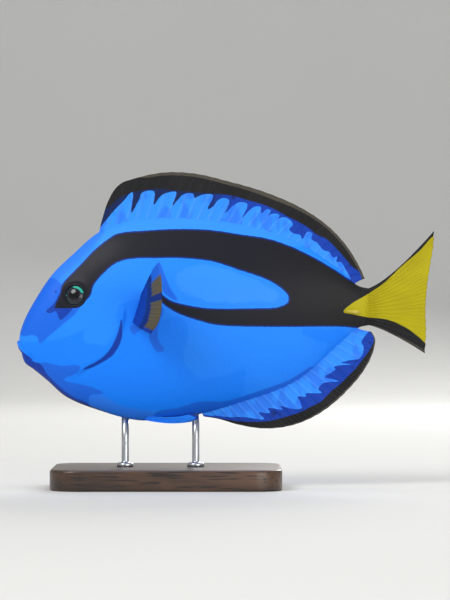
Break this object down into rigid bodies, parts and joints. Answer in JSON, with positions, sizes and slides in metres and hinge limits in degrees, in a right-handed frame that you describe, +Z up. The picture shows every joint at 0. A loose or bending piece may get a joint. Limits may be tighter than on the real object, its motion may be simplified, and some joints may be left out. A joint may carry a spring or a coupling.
{
  "type": "regal blue tang fish model on a display stand",
  "caption": "Still life-size regal blue tang with fins spread, held level by two thin rods over a flat rounded base.",
  "frame": {"origin": "at the underside of the stand's base, midway between the snout and the tail tips, in the fish's middle plane", "axes": "+X along the fish towards its tail, +Y out of its right side, +Z up"},
  "size_m": [0.2408, 0.1154, 0.1817],
  "materials": {
    "body_skin": "wet fish skin, vivid blue with a black band, satin gloss",
    "fin_membrane": "thin blue fin membrane with a black margin, satin gloss",
    "tail_fin_yellow": "yellow tail membrane with black edges, satin gloss",
    "pectoral_membrane": "olive yellow fin membrane with a dark streak, satin gloss",
    "eye": "dark glass eye with a thin bright ring, high gloss",
    "spine": "ivory-yellow bony spine, smooth",
    "stand_wood": "dark stained hardwood, satin lacquer",
    "stand_steel": "fine brushed stainless steel"
  },
  "bodies": {
    "root": {"head": "body_skin", "jaw": "body_skin", "torso": "body_skin", "tail_stalk": "body_skin", "dorsal_fin": "fin_membrane", "anal_fin": "fin_membrane", "tail_fin": "tail_fin_yellow", "pectoral_fin_left": "pectoral_membrane", "pectoral_fin_right": "pectoral_membrane", "pelvic_fin_left": "fin_membrane", "pelvic_fin_right": "fin_membrane", "eye_left": "eye", "eye_right": "eye", "tail_spine_left": "spine", "tail_spine_right": "spine", "stand_base": "stand_wood", "stand_rod_front": "stand_steel", "stand_rod_rear": "stand_steel"}
  },
  "joints": []
}
